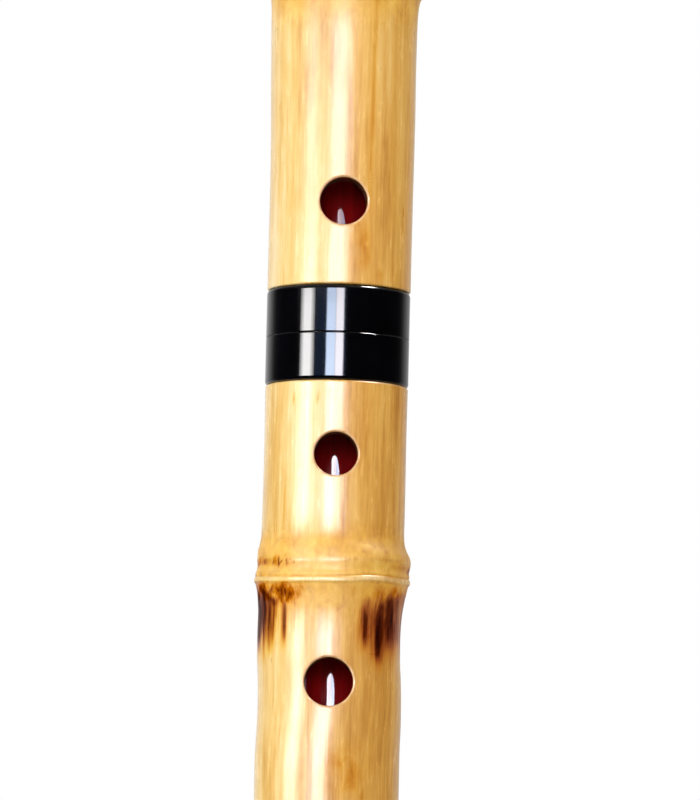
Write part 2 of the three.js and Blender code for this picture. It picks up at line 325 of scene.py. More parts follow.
class Build:
    """Collects vertices and quads, then makes one Blender mesh. Loops have `sides` vertices."""

    def __init__(self, sides):
        self.angle = ring_angles(sides)
        self.verts, self.faces, self.mats, self.count = [], [], [], 0

    def add(self, points):
        points = np.asarray(points, float).reshape(-1, 3)
        self.verts.append(points)
        self.count += len(points)
        return np.arange(self.count - len(points), self.count)

    def ring(self, r, z):
        """A loop round the flute's axis."""
        r, angle, z = np.broadcast_arrays(r, self.angle, z)
        return self.add(np.stack([r * np.sin(angle), -r * np.cos(angle), z], -1))

    def quads(self, quads, mat=0):
        self.faces.append(quads)
        self.mats.append(np.full(len(quads), mat))

    def strip(self, a, b, mat=0, keep=None):
        """Quads between two closed loops of the same length."""
        quads = np.stack([a, np.roll(a, -1), np.roll(b, -1), b], 1)
        self.quads(quads if keep is None else quads[keep], mat)
        return b

    def points(self):
        return np.concatenate(self.verts)

    def mesh(self, name, materials, sharp=None):
        """Makes the object; returns it and its vertices in millimetres."""
        points, faces = self.points(), np.concatenate(self.faces)
        used = np.unique(faces)
        remap = np.full(len(points), -1)
        remap[used] = np.arange(len(used))
        points, faces = points[used], remap[faces]
        mesh = bpy.data.meshes.new(name)
        mesh.vertices.add(len(points))
        mesh.vertices.foreach_set("co", (points * MM).astype(np.float32).ravel())
        mesh.loops.add(faces.size)
        mesh.loops.foreach_set("vertex_index", faces.astype(np.int32).ravel())
        mesh.polygons.add(len(faces))
        mesh.polygons.foreach_set("loop_start", np.arange(0, faces.size, 4, dtype=np.int32))
        mesh.polygons.foreach_set("loop_total", np.full(len(faces), 4, np.int32))
        mesh.polygons.foreach_set("material_index", np.concatenate(self.mats).astype(np.int32))
        mesh.update(calc_edges=True)
        mesh.validate()
        mesh.shade_smooth()
        if sharp:
            mesh.set_sharp_from_angle(angle=sharp * RAD)
        for material in materials:
            mesh.materials.append(material)
        return link(name, mesh), points


def link(name, data):
    obj = bpy.data.objects.new(name, data)
    bpy.context.scene.collection.objects.link(obj)
    return obj


def ready(obj, body, node):
    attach(obj, body)
    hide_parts(node)
    return obj


def graded(start, end, size):
    """Heights from start to end whose spacing follows size(z)."""
    fine = np.linspace(start, end, 20001)
    steps = (fine[1] - fine[0]) / size((fine[1:] + fine[:-1]) / 2)
    total = np.concatenate([[0], np.cumsum(steps)])
    count = max(2, int(round(total[-1])))
    return np.interp(np.linspace(0, total[-1], count + 1), total, fine)


def rows(start, end, holes, size):
    """Row heights, with an exact, evenly divided window round each hole."""
    result = []
    count = int(round(2 * WINDOW / WINDOW_STEP))
    for low, high in sorted((hole[0] - WINDOW, hole[0] + WINDOW) for hole in holes):
        result += list(graded(start, low, size))[:-1]
        result += list(np.linspace(low, high, count + 1))[:-1]
        start = high
    return np.array(result + list(graded(start, end, size)))


def even(step):
    return lambda z: np.full(z.shape, step)


def cane_size(z):
    """Row spacing on the cane's outside: finest at a node's lip, fine round it and at the root."""
    size = np.full(z.shape, 1.8)
    for node in NODES:
        d = z - node
        around = np.where((d > -8) & (d < 9.5), 0.44, 1.8)
        size = np.minimum(size, np.where(np.abs(d) < 1.3, 0.2, around))
    return np.where(z < 60, np.minimum(size, 0.85), size)


def sheet(build, row_heights, radius_at, edge=None, shifted=False):
    """Rings up a wall, as (rings, heights, radius_at). Given the top's edge, the rows above
    PRESS_FROM bend to follow it; shifted rows below that rise and fall with the nodes."""
    rings = []
    for height in row_heights:
        level = np.full(build.angle.shape, height)
        lift = 0.0
        if edge is not None and height > PRESS_FROM:
            level = PRESS_FROM + (height - PRESS_FROM) / (LENGTH - PRESS_FROM) * (edge - PRESS_FROM)
        elif shifted:
            lift = node_shift(build.angle, level)
        rings.append(build.ring(radius_at(build.angle, level), level + lift))
    return rings, row_heights, radius_at


def hole_points(radius_at, hole, across, up, depth=0.0):
    """Points on a wall, across and up from the hole's axis, sunk along that axis."""
    height, _, turn = hole
    facing = turn * RAD
    z = height + up
    angle = facing + np.arcsin(np.clip(across / 16.0, -1, 1))
    for _ in range(6):
        r = radius_at(angle, z)
        angle = facing + np.arcsin(np.clip(across / r, -1, 1))
    out = r * np.cos(angle - facing) - depth
    return np.stack([out * math.sin(facing) + across * math.cos(facing),
                     -out * math.cos(facing) + across * math.sin(facing), z], 1)


def window_loop(wall, height, cols):
    """Vertex numbers round the window at this height, starting along its lower edge."""
    rings = [ring for ring, z in zip(*wall[:2]) if abs(z - height) <= WINDOW + 1e-6]
    loop = [rings[0][c] for c in cols]
    loop += [ring[cols[-1]] for ring in rings[1:]]
    loop += [rings[-1][c] for c in cols[::-1][1:]]
    loop += [ring[cols[0]] for ring in rings[::-1][1:-1]]
    return np.array(loop)


def cut_hole(build, hole, outer, inner, half, rim, mats):
    """Fills the window round a hole on both walls and makes the wall between; returns its columns.

    half: the window's half width in degrees; mats: outside, rim, hole wall, inside.
    """
    height, radius, turn = hole
    outside_mat, rim_mat, wall_mat, inside_mat = mats
    facing = turn * RAD
    sides = len(build.angle)
    step = TAU / sides
    middle = round((facing - build.angle[0]) / step)
    reach = round(half * RAD / step)
    cols = [(middle + i) % sides for i in range(-reach, reach + 1)]
    points = build.points()

    def edge_of(loop):
        at = points[loop]
        return at[:, 0] * math.cos(facing) + at[:, 1] * math.sin(facing), at[:, 2] - height

    out_loop, in_loop = window_loop(outer, height, cols), window_loop(inner, height, cols)
    out_edge, in_edge = edge_of(out_loop), edge_of(in_loop)
    phase = np.unwrap(np.arctan2(out_edge[1], out_edge[0] * 0.92))
    # even out the spacing round the circle
    spaced = phase[0] + TAU * np.arange(len(phase)) / len(phase)
    phase = 0.45 * phase + 0.55 * spaced
    cos, sin = np.cos(phase), np.sin(phase)

    def grow(prev, points, mat):
        return build.strip(prev, build.add(points), mat)

    def between(wall, t, circle, edge):
        """From the hole's circle (t = 0) out to the window's edge (t = 1)."""
        return hole_points(wall[2], hole, (1 - t) * circle * cos + t * edge[0],
                           (1 - t) * circle * sin + t * edge[1])

    def rounding(wall, degrees, edge_r, way):
        r = radius + edge_r * (1 - math.sin(degrees * RAD))
        depth = way * edge_r * (1 - math.cos(degrees * RAD))
        return hole_points(wall[2], hole, r * cos, r * sin, depth)

    prev = out_loop
    for t in (0.78, 0.56, 0.38, 0.24, 0.13, 0.05, 0.0):
        prev = grow(prev, between(outer, t, radius + rim, out_edge), outside_mat)
    for degrees in np.linspace(0, 90, 8)[1:]:
        prev = grow(prev, rounding(outer, degrees, rim, 1), rim_mat)
    top = build.points()[prev]
    bottom = hole_points(inner[2], hole, radius * cos, radius * sin, -INNER_RIM)
    for t in np.linspace(0, 1, 7)[1:]:
        prev = grow(prev, top + (bottom - top) * t, wall_mat)
    for degrees in (60, 30, 0):
        prev = grow(prev, rounding(inner, degrees, INNER_RIM, -1), wall_mat)
    for t in (0.3, 0.65):
        prev = grow(prev, between(inner, t, radius + INNER_RIM, in_edge), inside_mat)
    build.strip(prev, in_loop, inside_mat)
    return cols


def tube(build, outer, inner, top, bottom, holes, half, rim, mats):
    """Joins two walls into one closed body. top and bottom: (radius, height, material) rings,
    the top's running inwards and the bottom's outwards."""
    top, bottom = ([(build.ring(r, z), mat) for r, z, mat in cap] for cap in (top, bottom))
    cuts = [cut_hole(build, hole, outer, inner, half, rim, mats) for hole in holes]

    def wall(rings, levels, mat):
        for i in range(len(rings) - 1):
            low, high = sorted(levels[i:i + 2])
            keep = np.ones(len(build.angle), bool)
            for hole, cols in zip(holes, cuts):
                if low >= hole[0] - WINDOW - 1e-6 and high <= hole[0] + WINDOW + 1e-6:
                    keep[cols[:-1]] = False
            build.strip(rings[i], rings[i + 1], mat, keep)

    wall(*outer[:2], mats[0])
    prev = outer[0][-1]
    for ring, mat in top:
        prev = build.strip(prev, ring, mat)
    build.strip(prev, inner[0][-1], mats[3])
    wall(inner[0][::-1], inner[1][::-1], mats[3])
    prev = inner[0][0]
    for ring, mat in bottom:
        prev = build.strip(prev, ring, mat)
    build.strip(prev, outer[0][0], bottom[-1][1])


# ------------------------------------------------------------------ node-tree helpers
class Nodes:
    """Short calls that add nodes. A value may be a number, a colour or another node's socket."""

    def __init__(self, tree):
        self.tree = tree
        tree.nodes.clear()

    def node(self, kind, **props):
        node = self.tree.nodes.new(kind)
        for key, value in props.items():
            setattr(node, key, value)
        return node

    def put(self, socket, value):
        if hasattr(value, "links"):
            self.tree.links.new(value, socket)
        elif isinstance(value, (tuple, list)) and len(value) == 3 and socket.type == "RGBA":
            socket.default_value = (*value, 1)
        else:
            socket.default_value = value

    def math(self, operation, first, second, clamp=False):
        node = self.node("ShaderNodeMath", operation=operation, use_clamp=clamp)
        self.put(node.inputs[0], first)
        self.put(node.inputs[1], second)
        return node.outputs[0]

    def add(self, first, second, clamp=False):
        return self.math("ADD", first, second, clamp)

    def sub(self, first, second, clamp=False):
        return self.math("SUBTRACT", first, second, clamp)

    def mul(self, first, second, clamp=False):
        return self.math("MULTIPLY", first, second, clamp)

    def max(self, first, second):
        return self.math("MAXIMUM", first, second)

    def swing(self, value, amount):
        """amount times the value's distance from 0.5."""
        return self.mul(self.sub(value, 0.5), amount)

    def blend(self, first, second):
        """Weighted sum of two (value, weight) pairs."""
        return self.add(self.mul(*first), self.mul(*second))

    def remap(self, value, span=(0.3, 0.7), to=(0.0, 1.0)):
        node = self.node("ShaderNodeMapRange", clamp=True)
        self.put(node.inputs[0], value)
        for i, limit in enumerate((*span, *to)):
            node.inputs[i + 1].default_value = limit
        return node.outputs[0]

    def ramp(self, value, stops):
        """stops: (position, colour)."""
        node = self.node("ShaderNodeValToRGB")
        self.put(node.inputs[0], value)
        elements = node.color_ramp.elements
        while len(elements) < len(stops):
            elements.new(0.5)
        for element, (position, colour) in zip(elements, stops):
            element.position = position
            element.color = (*colour, 1)
        return node.outputs[0]

    def mix(self, factor, first, second, blend="MIX"):
        node = self.node("ShaderNodeMix", data_type="RGBA", blend_type=blend)
        for i, value in ((0, factor), (6, first), (7, second)):
            self.put(node.inputs[i], value)
        return node.outputs[2]

    def tint(self, first, second):
        return self.mix(1.0, first, second, "MULTIPLY")

    def split(self, vector):
        node = self.node("ShaderNodeSeparateXYZ")
        self.put(node.inputs[0], vector)
        return node.outputs


class Material(Nodes):
    """A principled material; its textures run in object coordinates, in metres."""

    def __init__(self, name):
        self.material = bpy.data.materials.new(name)
        self.material.use_nodes = True
        super().__init__(self.material.node_tree)
        self.shader = self.node("ShaderNodeBsdfPrincipled")
        self.put(self.node("ShaderNodeOutputMaterial").inputs[0], self.shader.outputs[0])
        self.coord = self.node("ShaderNodeTexCoord").outputs["Object"]

    def scaled(self, axes):
        node = self.node("ShaderNodeVectorMath", operation="MULTIPLY")
        self.put(node.inputs[0], self.coord)
        node.inputs[1].default_value = axes
        return node.outputs[0]

    def noise(self, scale, along=None, axes=None, detail=3, rough=0.6, warp=0.0):
        """Noise; along scales it on z alone (below 1 draws it out), axes on x, y and z."""
        if along is not None:
            axes = (1, 1, along)
        vector = self.scaled(axes) if axes else self.coord
        node = self.node("ShaderNodeTexNoise")
        for key, value in (("Vector", vector), ("Scale", scale), ("Detail", detail),
                           ("Roughness", rough), ("Distortion", warp)):
            self.put(node.inputs[key], value)
        return node.outputs[0]

    def attr(self, name):
        return self.node("ShaderNodeAttribute", attribute_name=name).outputs["Fac"]

    def bump(self, height, strength, distance):
        node = self.node("ShaderNodeBump")
        self.put(node.inputs["Height"], height)
        node.inputs["Strength"].default_value = strength
        node.inputs["Distance"].default_value = distance
        return node.outputs[0]

    def set(self, **inputs):
        """Fills the shader's inputs and returns the finished material."""
        for key, value in inputs.items():
            self.put(self.shader.inputs[key.replace("_", " ")], value)
        return self.material


# ------------------------------------------------------------------ materials
def bamboo_skin():
    """Lacquered cane: long fibres, soft tone changes, toasted marks at the nodes, clear gloss."""
    mat = Material("bamboo_skin")
    fibre = mat.noise(2100, along=0.035)
    fleck = mat.noise(1500, along=0.10, warp=0.3)
    cord = mat.noise(520, along=0.035, warp=0.25)
    broad = mat.noise(130, along=0.16, rough=0.5)
    mottle = mat.noise(420, along=0.45, detail=4)
    # the tone attribute also carries the painted sheen along the upper section's sides
    tone = mat.add(mat.attr("tone"), 0.5)
    for layer, weight in ((cord, 0.46), (fibre, 0.26), (broad, 0.50), (fleck, 0.28), (mottle, 0.14)):
        tone = mat.add(tone, mat.swing(layer, weight))
    base = mat.ramp(tone, [
        (0.30, (0.54, 0.215, 0.016)), (0.42, (0.69, 0.320, 0.038)), (0.51, (0.77, 0.395, 0.060)),
        (0.61, (0.83, 0.465, 0.090)), (0.74, (0.88, 0.555, 0.155))])
    # painted sheen: paler and whiter down its left side, the side the lights come from
    side = mat.add(mat.split(mat.coord)["X"], mat.swing(broad, 0.012))
    pale = mat.remap(side, span=(-0.011, 0.007), to=(1.0, 0.0))
    base = mat.mix(pale, base, mat.tint(base, (1.03, 1.27, 2.4)))
    # golden zone round each node
    band = mat.attr("band")
    cloud = mat.noise(330, along=0.8, detail=4, rough=0.62, warp=0.6)
    gold = mat.ramp(cloud, [
        (0.30, (0.54, 0.215, 0.014)), (0.44, (0.72, 0.36, 0.034)),
        (0.58, (0.82, 0.465, 0.062)), (0.74, (0.90, 0.60, 0.13))])
    base = mat.mix(mat.mul(band, 0.8), base, gold)
    # the lip of the sheath scar: paler skin, with a painted highlight along its lit top
    lip_pale_and_highlight = (0.90, 0.68, 0.30)
    base = mat.mix(mat.mul(mat.attr("lip"), 0.75, clamp=True), base, lip_pale_and_highlight)
    # toasted and burnt marks, with the painted shade in the scar grooves: streaky along the fibres,
    # mottled just under the scar
    streak = mat.remap(mat.noise(900, along=0.05), span=(0.32, 0.68))
    grain = mat.blend((mat.remap(fibre), 0.45), (streak, 0.55))
    burn_and_groove_shade = mat.attr("burn_and_groove_shade")
    breakup = mat.swing(grain, mat.mul(burn_and_groove_shade, 2.6, clamp=True))
    streaks = mat.add(burn_and_groove_shade, mat.mul(breakup, 0.55), clamp=True)
    curl = mat.remap(mat.noise(430, along=0.5, rough=0.55, warp=0.4), span=(0.36, 0.64))
    blots = mat.mul(mat.attr("blot"), mat.add(mat.mul(curl, 0.80), 0.12), clamp=True)
    toasted = mat.max(streaks, blots)
    base = mat.tint(base, mat.ramp(toasted, [
        (0.0, (1, 1, 1)), (0.14, (0.94, 0.84, 0.46)), (0.32, (0.78, 0.53, 0.12)),
        (0.52, (0.48, 0.21, 0.02)), (0.75, (0.17, 0.045, 0.006)), (1.0, (0.035, 0.006, 0.002))]))
    # pores and specks
    pore = (0.34, 0.14, 0.02)
    speck = mat.remap(mat.noise(1500, along=0.35, detail=2, rough=0.5), span=(0.69, 0.80))
    base = mat.mix(mat.mul(speck, 0.40), base, pore)
    # cut root stubs: pale discs with dark rims
    stub_face, stub_rim = (0.80, 0.58, 0.30), (0.22, 0.08, 0.015)
    stub = mat.attr("nub")
    rim = mat.mul(mat.mul(stub, mat.sub(1.0, stub)), 3.2, clamp=True)
    base = mat.mix(mat.mul(stub, 0.55), base, stub_face)
    base = mat.mix(rim, base, stub_rim)
    # relief of the cane and of the lacquer over it
    under = mat.bump(mat.blend((fibre, 0.6), (cord, 0.8)), strength=0.24, distance=0.00012)
    over = mat.bump(mat.blend((fibre, 0.22), (cord, 1.0)), strength=0.34, distance=0.00014)
    # gloss is lost at the nodes and over the marks
    dull = mat.mul(band, 0.45)
    worn = mat.max(mat.mul(blots, 2.4), mat.mul(streaks, 0.62))
    gloss = mat.sub(1.0, mat.max(dull, worn), clamp=True)
    hair = mat.noise(1300, along=0.02, rough=0.65)
    hairs = mat.blend((hair, 0.6), (fibre, 0.4))
    gloss = mat.mul(gloss, mat.remap(hairs, span=(0.36, 0.58), to=(0.66, 1.0)))
    marked = mat.max(mat.mul(toasted, 1.3), mat.mul(blots, 2.2))
    shine = mat.sub(1.0, mat.max(dull, marked), clamp=True)
    coat_rough = mat.remap(mat.blend((fleck, 0.5), (mottle, 0.5)), span=(0.35, 0.65), to=(0.19, 0.29))
    return mat.set(
        Base_Color=base, IOR=1.5, Normal=under,
        Roughness=mat.add(mat.remap(cord, to=(0.40, 0.52)), mat.mul(band, 0.1)),
        Specular_IOR_Level=mat.mul(shine, 0.95), Coat_Weight=gloss,
        Coat_Roughness=mat.add(coat_rough, mat.mul(band, 0.12)), Coat_IOR=1.62, Coat_Normal=over)


def hole_rim():
    """The rounded, polished edge of a finger hole."""
    mat = Material("hole_rim")
    grain = mat.noise(900, along=0.3)
    colour = mat.ramp(grain, [
        (0.3, (0.62, 0.30, 0.10)), (0.6, (0.80, 0.48, 0.22)), (0.8, (0.86, 0.58, 0.32))])
    return mat.set(Base_Color=colour, Roughness=mat.remap(grain, to=(0.3, 0.45)), Coat_Weight=1.0,
                   Coat_Roughness=0.10, Normal=mat.bump(grain, strength=0.3, distance=0.00005))


def hole_wall():
    """The cut through the cane wall, sealed with brown lacquer over the end fibres."""
    mat = Material("hole_wall")
    grain = mat.noise(1600)
    dots = mat.noise(3200, detail=2)
    colour = mat.ramp(mat.blend((grain, 0.6), (dots, 0.4)), [
        (0.3, (0.040, 0.008, 0.003)), (0.5, (0.10, 0.024, 0.006)), (0.75, (0.20, 0.065, 0.016))])
    return mat.set(Base_Color=colour, Roughness=mat.remap(grain, to=(0.5, 0.65)),
                   Specular_IOR_Level=0.2, Normal=mat.bump(dots, strength=0.3, distance=0.00004))


def end_grain():
    """Cut end of the cane: pale ground tissue with dark fibre bundles."""
    mat = Material("bamboo_end_grain")
    cells = mat.node("ShaderNodeTexVoronoi", feature="F1")
    mat.put(cells.inputs["Vector"], mat.scaled((1, 1, 0.02)))
    cells.inputs["Scale"].default_value = 1250
    dot = mat.remap(cells.outputs["Distance"], span=(0.18, 0.42))
    soft = mat.noise(500, detail=4)
    ground = mat.ramp(soft, [(0.3, (0.52, 0.32, 0.13)), (0.7, (0.70, 0.49, 0.24))])
    bundle = (0.24, 0.11, 0.035)
    return mat.set(Base_Color=mat.mix(dot, bundle, ground), Roughness=mat.remap(soft, to=(0.42, 0.6)),
                   Coat_Weight=0.5, Coat_Roughness=0.2,
                   Normal=mat.bump(dot, strength=0.3, distance=0.00008))


def raw_bore():
    """Reamed inside of the cane, under the lining and in the joint seat."""
    mat = Material("reamed_cane")
    grain = mat.noise(1400, along=0.05, detail=4)
    turning = mat.noise(1800, axes=(0.15, 0.15, 1), detail=2, rough=0.5)
    colour = mat.ramp(mat.blend((grain, 0.7), (turning, 0.3)), [
        (0.3, (0.20, 0.09, 0.03)), (0.6, (0.42, 0.24, 0.10)), (0.8, (0.56, 0.36, 0.17))])
    return mat.set(Base_Color=colour, Roughness=mat.remap(grain, to=(0.4, 0.6)),
                   Normal=mat.bump(turning, strength=0.3, distance=0.00008))


def red_lacquer():
    """Deep red lacquer on the bore, brushed along its length and polished."""
    mat = Material("red_lacquer")
    brush = mat.noise(900, along=0.03)
    cloud = mat.noise(180, along=0.3, rough=0.55)
    colour = mat.ramp(mat.blend((brush, 0.5), (cloud, 0.5)), [
        (0.3, (0.24, 0.001, 0.0015)), (0.5, (0.42, 0.002, 0.003)), (0.72, (0.58, 0.006, 0.006))])
    lines = mat.noise(2300, along=0.02, detail=2)
    return mat.set(Base_Color=colour, Roughness=mat.remap(brush, to=(0.55, 0.7)),
                   Specular_IOR_Level=0.05,
                   Coat_Weight=mat.remap(lines, span=(0.36, 0.54), to=(0.48, 1.0)),
                   Coat_Roughness=mat.remap(cloud, span=(0.35, 0.7), to=(0.02, 0.05)),
                   Coat_IOR=1.72, Normal=mat.bump(brush, strength=0.25, distance=0.00006),
                   Coat_Normal=mat.bump(cloud, strength=0.12, distance=0.0002))


def black_gloss():
    """Mirror-gloss black with the faintest polishing waves and hairline scratches."""
    mat = Material("black_gloss")
    wave = mat.noise(130, along=0.6, detail=2, rough=0.5)
    hair = mat.noise(9000, axes=(0.04, 0.04, 1), detail=2)
    dust = mat.remap(mat.noise(2600, detail=2, rough=0.5), span=(0.70, 0.80))
    colour = mat.ramp(wave, [(0.3, (0.0004, 0.0004, 0.0007)), (0.7, (0.0012, 0.0012, 0.0022))])
    scratched = mat.remap(hair, span=(0.35, 0.75), to=(0.07, 0.10))
    relief = mat.add(wave, mat.mul(hair, 0.02))
    return mat.set(Base_Color=colour, Roughness=mat.add(scratched, mat.mul(dust, 0.05)), IOR=1.6,
                   Normal=mat.bump(relief, strength=0.05, distance=0.0004))


def tenon_lacquer():
    """Dark brown lacquer over the tenon, rubbed thin by the joint in rings."""
    mat = Material("tenon_lacquer")
    round_it = (0.03, 0.03, 1)
    ring = mat.noise(420, axes=round_it, rough=0.55)
    fine = mat.noise(2600, axes=round_it, detail=2, rough=0.5)
    soft = mat.noise(160, along=0.4, rough=0.5)
    wear = mat.remap(mat.blend((ring, 0.55), (soft, 0.45)), span=(0.52, 0.68))
    dark, rubbed = (0.045, 0.014, 0.009), (0.15, 0.06, 0.022)
    relief = mat.add(ring, mat.mul(fine, 0.25))
    return mat.set(Base_Color=mat.mix(mat.mul(wear, 0.55), dark, rubbed),
                   Roughness=mat.remap(wear, span=(0, 1), to=(0.20, 0.38)),
                   Coat_Weight=0.7, Coat_Roughness=0.10,
                   Normal=mat.bump(relief, strength=0.12, distance=0.00006))


def binding_thread():
    """Waxed thread laid in glue: each turn is a twisted yarn."""
    mat = Material("binding_thread")
    yarn = mat.noise(2600, along=2.2, warp=0.5)
    soak = mat.noise(350, rough=0.5)
    colour = mat.ramp(mat.blend((yarn, 0.6), (soak, 0.4)), [
        (0.3, (0.26, 0.17, 0.075)), (0.55, (0.46, 0.34, 0.18)), (0.75, (0.62, 0.50, 0.31))])
    return mat.set(Base_Color=colour, Roughness=mat.remap(yarn, to=(0.5, 0.75)),
                   Normal=mat.bump(yarn, strength=0.6, distance=0.00008))


def black_horn():
    """Polished black horn with brown translucent streaks."""
    mat = Material("black_horn")
    streak = mat.noise(420, axes=(0.25, 1, 1), detail=4, warp=0.6)
    colour = mat.ramp(streak, [
        (0.35, (0.010, 0.008, 0.007)), (0.6, (0.030, 0.020, 0.013)), (0.8, (0.095, 0.055, 0.028))])
    return mat.set(Base_Color=colour, Roughness=mat.remap(streak, to=(0.14, 0.26)), Coat_Weight=0.6,
                   Coat_Roughness=0.06, Normal=mat.bump(streak, strength=0.1, distance=0.0001))


CANE_MATS = [bamboo_skin(), hole_rim(), hole_wall(), end_grain(), raw_bore()]
SKIN, RIM, WALL, GRAIN, RAW = range(5)  # their slots on the cane
RED_M, BLACK_M, TENON_M, THREAD_M, HORN_M = (
    red_lacquer(), black_gloss(), tenon_lacquer(), binding_thread(), black_horn())


# ------------------------------------------------------------------ marks on the skin
# each: angle, height, half width in angle, half height, strength[, lean (degrees per mm)]
MARKS = [
    # toasted streaks below the main node, right
    (29, 185.8, 4.4, 4.9, 1.05), (41.8, 184.4, 5.8, 6.4, 1.25, -0.1),
    (57, 186.6, 10.5, 5.6, 0.98, 0.1), (52, 190.8, 9, 1.7, 0.62, 2.5),
    (70, 186.5, 6.5, 5.2, 0.70), (47, 193, 16, 1.7, 0.26), (68, 192.4, 10, 1.9, 0.45),
    (22, 186, 2.4, 4.2, 0.16), (60, 181.6, 4, 3.8, 0.30), (84, 188, 8, 8, 0.62),
    (46, 186, 17, 6.5, 0.26), (43.5, 180, 2, 3.6, 0.35),
    # left: dark edge and brown streaks
    (-80, 188, 13, 7.4, 1.2), (-66, 189.6, 7.5, 5.4, 0.92), (-56, 187.2, 7, 5, 0.80),
    (-55, 182.4, 3.6, 3.2, 0.32), (-39.8, 187, 3.2, 5.4, 0.66), (-65, 181.5, 4, 3.6, 0.30),
    (-48.5, 189.4, 2.6, 2.8, 0.34), (-42.9, 213, 1, 6.5, 0.22), (-37.5, 209, 0.8, 4.5, 0.20),
    (-58, 222, 1, 9, 0.18), (-60.5, 192.4, 5, 2.1, 0.75, -5.6),
    (-42.6, 192.4, 4.6, 2, 0.62, 3.2), (-52, 193.8, 4.4, 1.4, 0.55, 4.2),
    (-36, 192.2, 3.6, 1.8, 0.48, -3),
    # flecks along the ridge, and fine streaks below it
    (-44.9, 199.9, 1.4, 1.2, 0.86), (-50.2, 200, 1.3, 0.9, 0.60, 2), (-36.8, 199.7, 1.1, 1, 0.60),
    (-30.3, 199.5, 1.5, 0.4, 0.38), (-64, 200.1, 9, 0.8, 0.50), (-79, 200, 6, 0.9, 0.62),
    (-41.5, 200, 0.7, 1.3, 0.70, 3), (-47.6, 199.4, 0.6, 0.7, 0.55, -4),
    (-33.6, 200.1, 0.6, 0.9, 0.62, 2), (-55, 200.3, 0.9, 0.6, 0.5), (-32.5, 187, 0.8, 5, 0.36),
    (-29.6, 186, 0.7, 6.5, 0.34), (-26, 186.8, 0.6, 5, 0.28), (-20.5, 187, 0.7, 5, 0.26),
    (-24, 189, 0.5, 3.4, 0.24), (-17.4, 188.6, 0.5, 3.6, 0.22), (-9, 188.4, 0.5, 3.4, 0.22),
    (4.6, 188.8, 0.6, 3, 0.20), (-13, 188, 0.6, 4.5, 0.24), (-3, 188, 0.6, 4, 0.22),
    (62, 199.3, 12, 0.6, 0.26), (80, 199, 7, 0.9, 0.50),
    # above the joint rings
    (17.5, 272.4, 3.2, 3.2, 0.34, -1.2), (21.5, 268.6, 2.8, 2.6, 0.24),
    (14.6, 275.8, 1.2, 0.7, 0.38), (60, 279.6, 1.8, 1.4, 0.36), (59, 276.3, 1.6, 1.5, 0.26),
    (34, 264.5, 4, 1.2, 0.15), (24.8, 316, 1.5, 18, 0.36), (23.4, 292, 1.3, 14, 0.24),
    # specks below them
    (-36.9, 236.8, 1.1, 0.9, 0.46), (-15.4, 236.2, 1.2, 1, 0.34), (-5.1, 237.7, 0.9, 0.5, 0.24),
    (43.8, 235.6, 2.2, 0.7, 0.24, 3),
    # between the two lower holes
    (8.4, 152.6, 0.7, 3.4, 0.14), (11.4, 153.6, 0.7, 4, 0.18), (14.6, 152.2, 0.6, 3.2, 0.16),
    (19, 155.4, 0.6, 3, 0.10), (29.6, 155.4, 0.7, 2.4, 0.14), (13, 152.3, 9, 4.4, 0.10),
]
BLOTS = [  # mottled marks, same columns
    (-47, 193.5, 20, 1.9, 0.86), (-40, 191.8, 10, 2.4, 0.74), (-27, 192.6, 7, 2, 0.40),
    (-68, 193.2, 13, 2.2, 1), (58, 193.6, 22, 1.4, 0.60), (44, 192.4, 12, 1.3, 0.42),
    (15, 153.4, 16, 5.4, 0.36), (-45, 200.1, 15, 1.2, 0.50), (-74, 200.3, 12, 1.1, 0.60),
    (2, 193.4, 24, 1.6, 0.18), (18, 271, 6, 4.5, 0.36), (-20, 207, 40, 3, 0.10),
    (40, 205, 40, 3, 0.14),
]


def scatter_marks():
    """Random marks in the same columns, for the parts the tables leave bare."""
    draw = np.random.default_rng(77).uniform
    for node in NODES[1:3] + NODES[4:]:
        for _ in range(12):
            angle, z, width = draw(-180, 180), node - draw(4, 10), draw(2, 6)
            if node != UPPER_NODE or abs(angle) > 100:
                MARKS.append((angle, z, width, draw(2.5, 6.5), draw(0.15, 0.75)))
        for _ in range(9):
            angle = draw(-180, 180)
            if node != UPPER_NODE or abs(angle) > 100:
                BLOTS.append((angle, node - draw(1.5, 3.5), draw(8, 20), draw(0.9, 1.8),
                              draw(0.4, 1.0)))
        for _ in range(12):
            MARKS.append((draw(-180, 180), node + draw(2.5, 5), draw(1, 5), draw(0.5, 1.1),
                          draw(0.25, 0.75)))
    for _ in range(14):  # the back of the main node
        MARKS.append((draw(98, 258), 196 - draw(4, 10), draw(2, 6), draw(2.5, 6), draw(0.2, 0.85)))
        BLOTS.append((draw(100, 258), 196 - draw(1.5, 3.5), draw(6, 18), draw(0.9, 1.8),
                      draw(0.3, 0.9)))
    for _ in range(70):  # stray flecks, away from the front of the middle
        angle, z = draw(-180, 180), draw(105, 540)
        if not (abs(angle) < 88 and 145 < z < 331):
            MARKS.append((angle, z, draw(0.6, 2.4), draw(0.6, 5.0), draw(0.10, 0.4)))


scatter_marks()


def add_mark(mask, angle, z, at_angle, at_z, width, height, strength, lean=0):
    """Lays one soft-edged mark over the mask."""
    sel = np.abs(z - at_z) < height * 2.0
    if not sel.any():
        return
    angle, z = angle[sel], z[sel]
    across = np.abs(wrap(angle - (at_angle + lean * (z - at_z)) * RAD)) / (width * RAD)
    up = np.abs(z - at_z) / height
    one = strength * np.exp(-(across**2.2 + up**3.0))
    mask[sel] = 1 - (1 - np.minimum(mask[sel], 1)) * (1 - np.minimum(one, 1))


